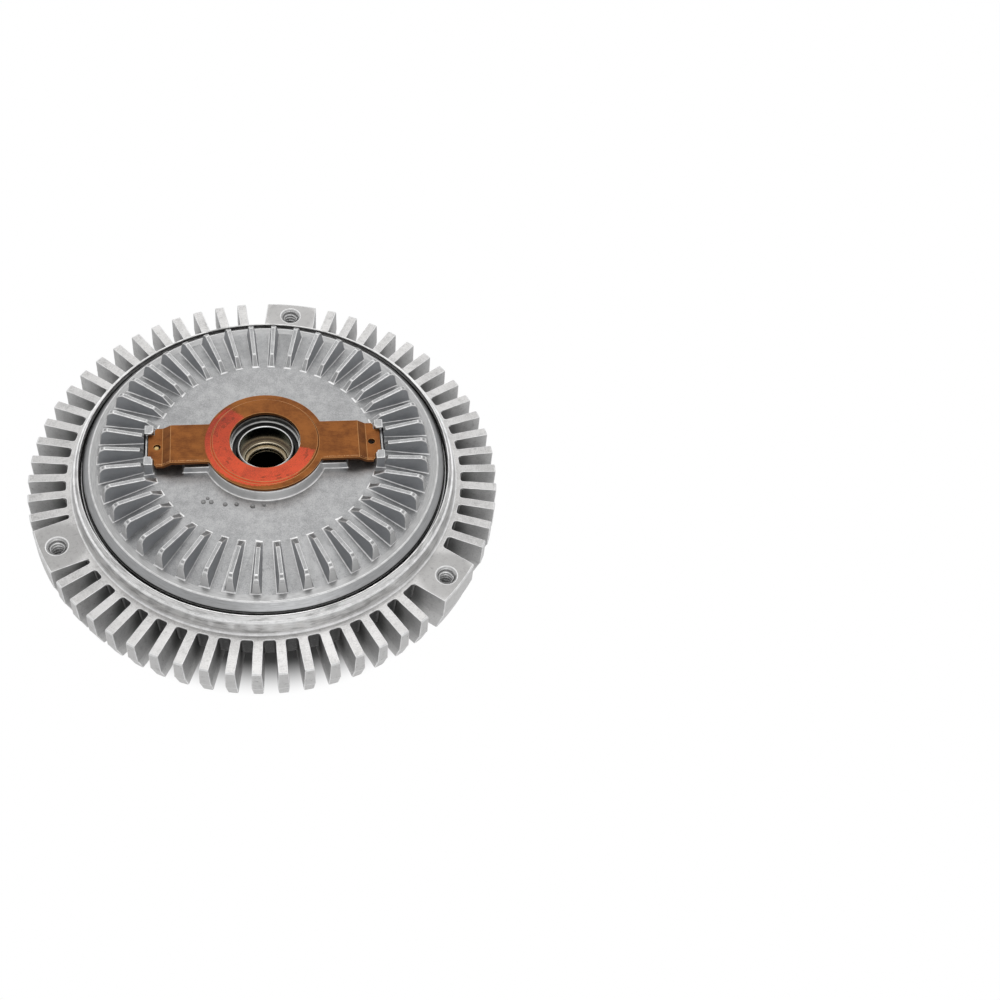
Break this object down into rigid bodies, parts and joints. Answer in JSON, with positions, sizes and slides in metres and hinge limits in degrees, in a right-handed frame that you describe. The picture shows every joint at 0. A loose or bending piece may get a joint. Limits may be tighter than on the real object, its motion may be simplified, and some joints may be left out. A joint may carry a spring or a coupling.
{
  "type": "viscous fan clutch",
  "caption": "Round viscous fan clutch with a finned cast housing and cover, threaded fan lugs, a sealed bearing on a hollow shaft and a ring-shaped bimetal strip.",
  "frame": {"origin": "on the shaft's axis, at the rear end face of the shaft's stub", "axes": "+Z along the shaft, out of the front face with the bimetal strip; +X along the strip"},
  "size_m": [0.19, 0.19, 0.0514],
  "materials": {
    "cast_housing": "die-cast, fine matte skin",
    "cast_cover": "die-cast, smooth satin skin",
    "black_rubber": "smooth",
    "shaft_steel": "turned and ground",
    "rotor_aluminium": "turned",
    "spring_steel": "blackened",
    "bearing_steel": "ground",
    "ball_steel": "polished",
    "cage_steel": "pressed",
    "blue_seal": "smooth moulded rubber",
    "plate_steel": "rolled sheet",
    "screw_steel": "zinc plated",
    "lever_steel": "spring sheet",
    "wiper_plastic": "moulded",
    "pin_steel": "ground",
    "bimetal": "rolled bimetal sheet, part painted red",
    "case_steel": "pressed"
  },
  "bodies": {
    "housing": {"housing": "cast_housing", "cover": "cast_cover", "cover_o_ring": "black_rubber", "bearing_outer_ring": "bearing_steel", "bearing_rear_seal": "blue_seal", "bearing_front_seal": "blue_seal", "separator_plate": "plate_steel", "plate_screws": "screw_steel", "valve_rivet": "screw_steel", "pump_wiper": "wiper_plastic", "control_pin_o_ring": "black_rubber", "seal_case": "case_steel", "shaft_seal": "black_rubber"},
    "shaft": {"input_shaft": "shaft_steel", "rotor": "rotor_aluminium", "rotor_circlip": "spring_steel", "bearing_inner_ring": "bearing_steel"},
    "ball_set": {"bearing_balls": "ball_steel", "bearing_cage": "cage_steel"},
    "bimetal": {"bimetal_strip": "bimetal", "control_pin": "pin_steel"},
    "valve": {"valve_lever": "lever_steel"}
  },
  "joints": [
    {"name": "shaft_spin", "type": "hinge", "parent": "housing", "child": "shaft", "pos_m": [0, 0, 0.0127], "axis": [0, 0, 1], "continuous": true},
    {"name": "ball_set_spin", "type": "hinge", "parent": "housing", "child": "ball_set", "pos_m": [0, 0, 0.0127], "axis": [0, 0, 1], "continuous": true},
    {"name": "bimetal_bow", "type": "slide", "parent": "housing", "child": "bimetal", "axis": [0, 0, 1], "range_m": [0, 0.0005], "stiffness_N_per_m": 2000},
    {"name": "valve_lift", "type": "hinge", "parent": "housing", "child": "valve", "pos_m": [0.019, -0.025, 0.0372], "axis": [1, 0, 0], "range_deg": [0, 1.2]}
  ],
  "couplings": [
    {"joint": "ball_set_spin", "follows": "shaft_spin", "ratio": 0.3677},
    {"joint": "valve_lift", "follows": "bimetal_bow", "rad_per_m": 40}
  ]
}
